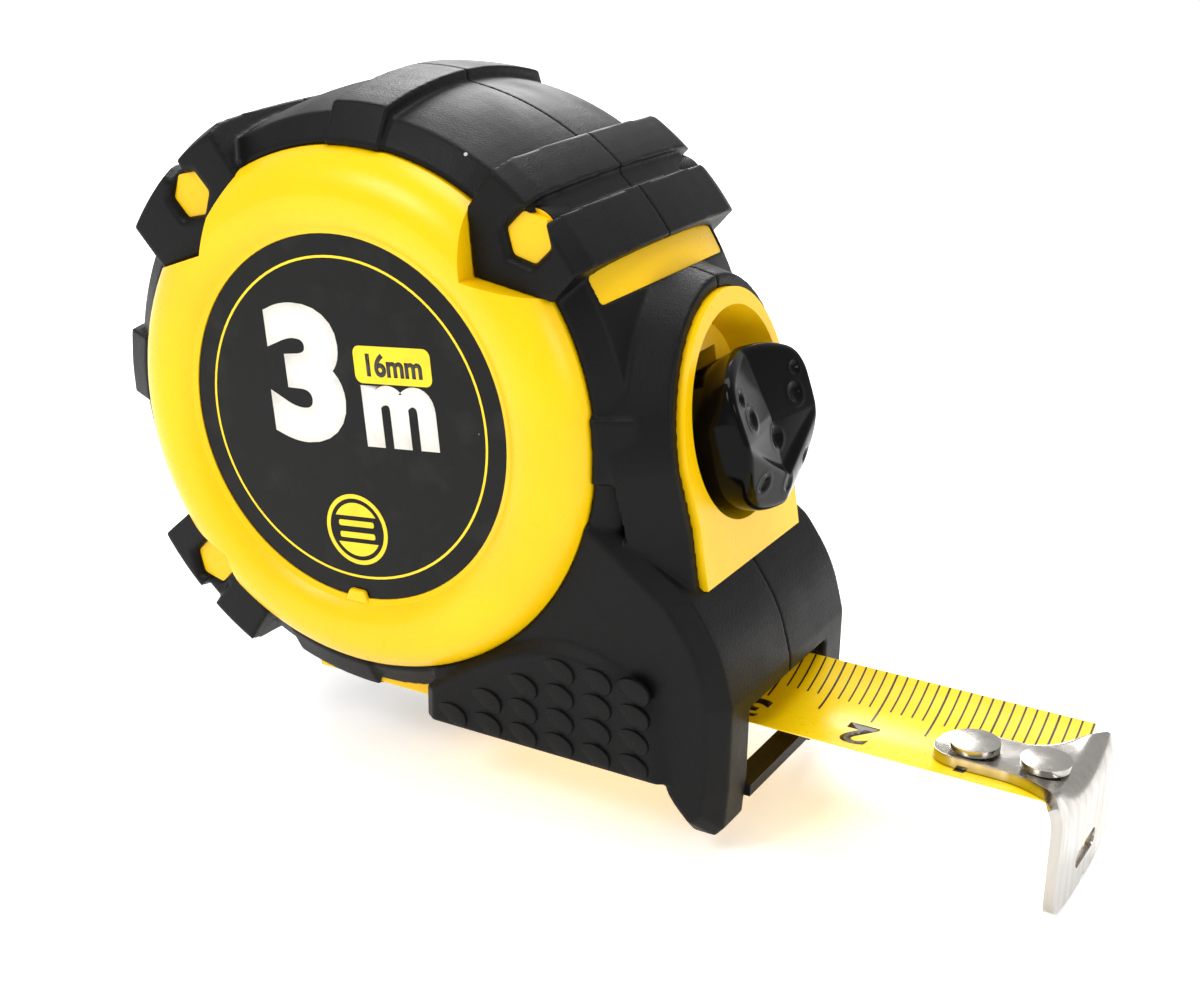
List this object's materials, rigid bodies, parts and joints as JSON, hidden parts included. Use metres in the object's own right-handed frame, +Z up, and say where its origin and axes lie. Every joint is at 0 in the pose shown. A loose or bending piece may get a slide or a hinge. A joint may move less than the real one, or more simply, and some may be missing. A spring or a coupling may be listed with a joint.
{
  "type": "tape measure",
  "caption": "Pocket tape measure with a yellow shell in a black rubber jacket, a sliding thumb lock, a spring-wound steel blade and a riveted end hook.",
  "frame": {"origin": "under the middle of the whole object, at the height of the hook's lowest edge", "axes": "+X the way the blade runs out, +Y across the case from the printed face to the belt clip, +Z up"},
  "size_m": [0.0926, 0.0362, 0.0626],
  "materials": {
    "yellow_shell": "glossy moulded ABS",
    "black_rubber": "matt, finely grained",
    "label": "printed film, slightly scratched",
    "gloss_black": "polished",
    "dark_plastic": "satin",
    "blade": "clear-coated paint on spring steel",
    "hook_steel": "bright plated",
    "clip_steel": "bright plated",
    "steel": "zinc plated",
    "spring_steel": "oiled"
  },
  "bodies": {
    "case": {"left_shell": "yellow_shell", "right_shell": "yellow_shell", "left_jacket": "black_rubber", "right_jacket": "black_rubber", "left_label": "label", "right_label": "label", "centre_post": "dark_plastic", "left_washer": "steel", "right_washer": "steel", "case_screws": "steel", "mouth_bumper": "black_rubber", "brake_pad": "black_rubber", "belt_clip": "clip_steel", "clip_screw": "steel", "detent_spring": "spring_steel", "blade_transition": "blade"},
    "reel": {"reel_drum": "dark_plastic", "reel_cover": "dark_plastic", "power_spring": "spring_steel", "tape_coil": "blade"},
    "blade": {"tape_blade": "blade", "hook_rivets": "hook_steel"},
    "hook": {"end_hook": "hook_steel"},
    "lock": {"lock_button": "gloss_black", "lock_slide": "dark_plastic", "brake_shoe": "black_rubber"}
  },
  "joints": [
    {"name": "reel_spin", "type": "hinge", "parent": "case", "child": "reel", "pos_m": [-0.01752, -0.00175, 0.0339], "axis": [0, -1, 0], "range_deg": [-77.1, 37.1]},
    {"name": "blade_slide", "type": "slide", "parent": "case", "child": "blade", "axis": [1, 0, 0], "range_m": [-0.0251, 0.0121], "deforming": ["blade_transition"]},
    {"name": "hook_play", "type": "slide", "parent": "blade", "child": "hook", "axis": [1, 0, 0], "range_m": [-0.0009, 0]},
    {"name": "lock_slide", "type": "slide", "parent": "case", "child": "lock", "axis": [-0.1633, 0, 0.9866], "range_m": [0, 0.0036]}
  ],
  "couplings": [
    {"joint": "blade_slide", "follows": "reel_spin", "m_per_rad": 0.0186}
  ]
}
